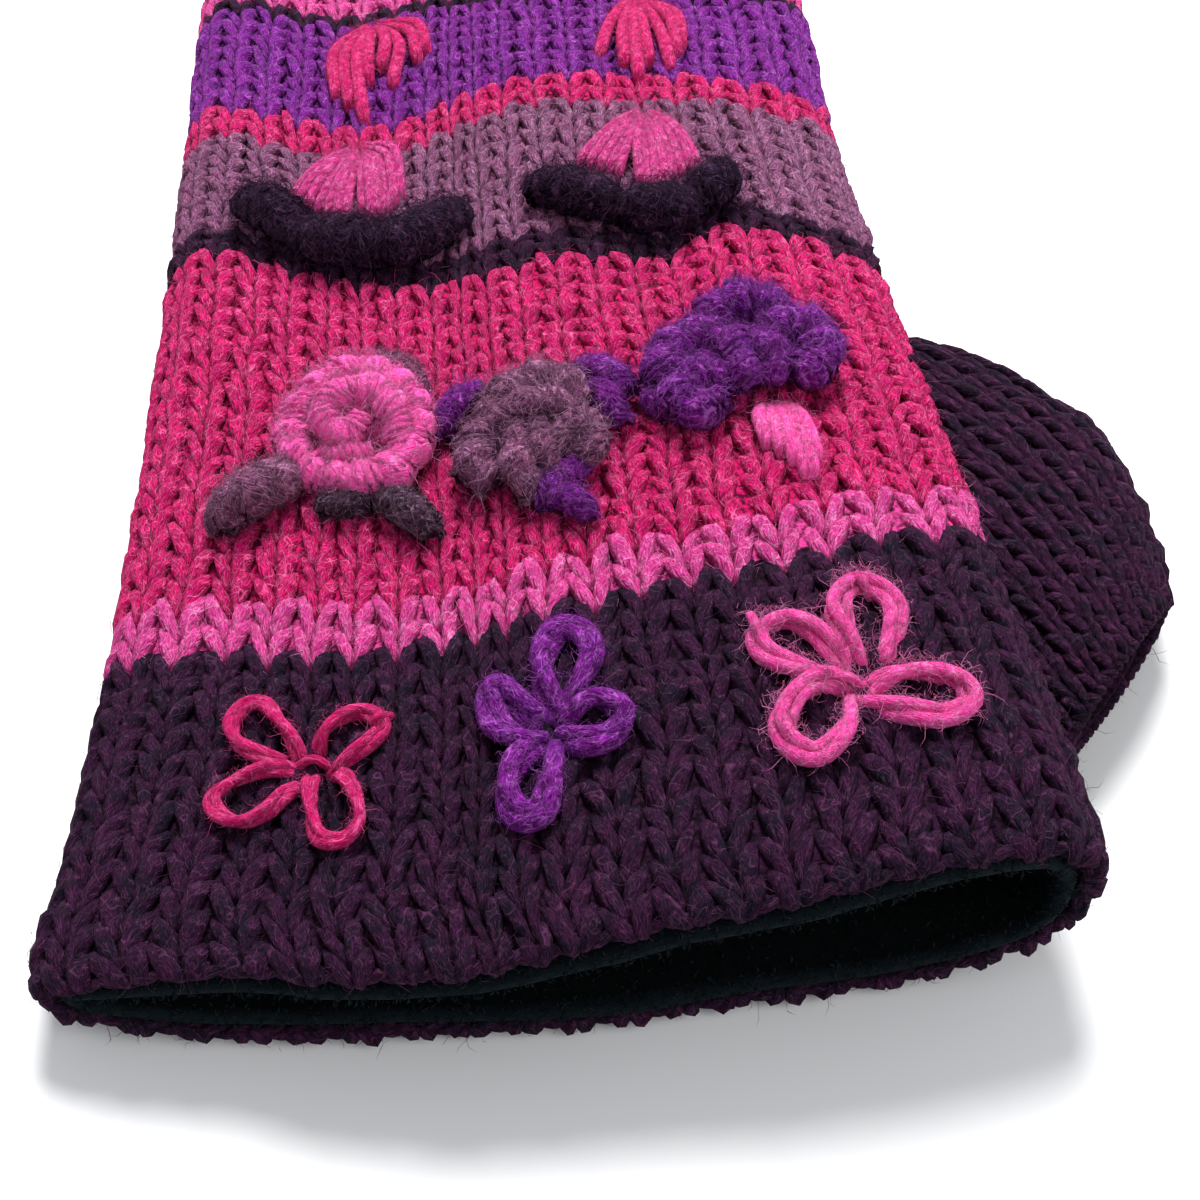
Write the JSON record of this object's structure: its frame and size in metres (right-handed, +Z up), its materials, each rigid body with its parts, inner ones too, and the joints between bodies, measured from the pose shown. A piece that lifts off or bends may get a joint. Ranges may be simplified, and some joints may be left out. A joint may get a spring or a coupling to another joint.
{
  "type": "hand-knitted fleece-lined wrist warmer, right hand",
  "caption": "Flattened tube of thick striped wool knit with a side thumb sleeve, fleece lining, and raised wool flowers, leaves, garlands and fans on its back.",
  "frame": {"origin": "middle of the flat strip on the palm side that the piece rests on, midway between the finger opening and the cuff", "axes": "+Z up from the palm side through the back of the hand, +Y along the tube from the finger opening to the cuff, +X towards the thumb"},
  "size_m": [0.127, 0.207, 0.0294],
  "materials": {
    "striped_knit": "heathered two-ply wool, fuzzy",
    "aubergine_knit": "heathered two-ply wool, fuzzy",
    "fleece": "brushed pile",
    "pink_yarn": "two-ply wool",
    "crimson_yarn": "two-ply wool",
    "purple_yarn": "two-ply wool",
    "mauve_yarn": "heathered two-ply wool",
    "dark_yarn": "two-ply wool"
  },
  "bodies": {
    "root": {"knit_tube": "striped_knit", "fleece_lining": "fleece", "thumb_sleeve": "aubergine_knit", "daisy_left": "crimson_yarn", "daisy_middle": "purple_yarn", "daisy_right": "pink_yarn", "flower_pink": "pink_yarn", "flower_mauve": "mauve_yarn", "flower_purple": "purple_yarn", "leaf_left": "dark_yarn", "leaf_lower": "dark_yarn", "leaf_upper": "dark_yarn", "leaf_between": "purple_yarn", "leaf_right": "purple_yarn", "leaf_below": "purple_yarn", "garland_left": "dark_yarn", "garland_right": "dark_yarn", "fan_left": "pink_yarn", "fan_right": "pink_yarn", "fan_top_left": "crimson_yarn", "fan_top_right": "crimson_yarn", "petal_pink": "pink_yarn"}
  },
  "joints": []
}
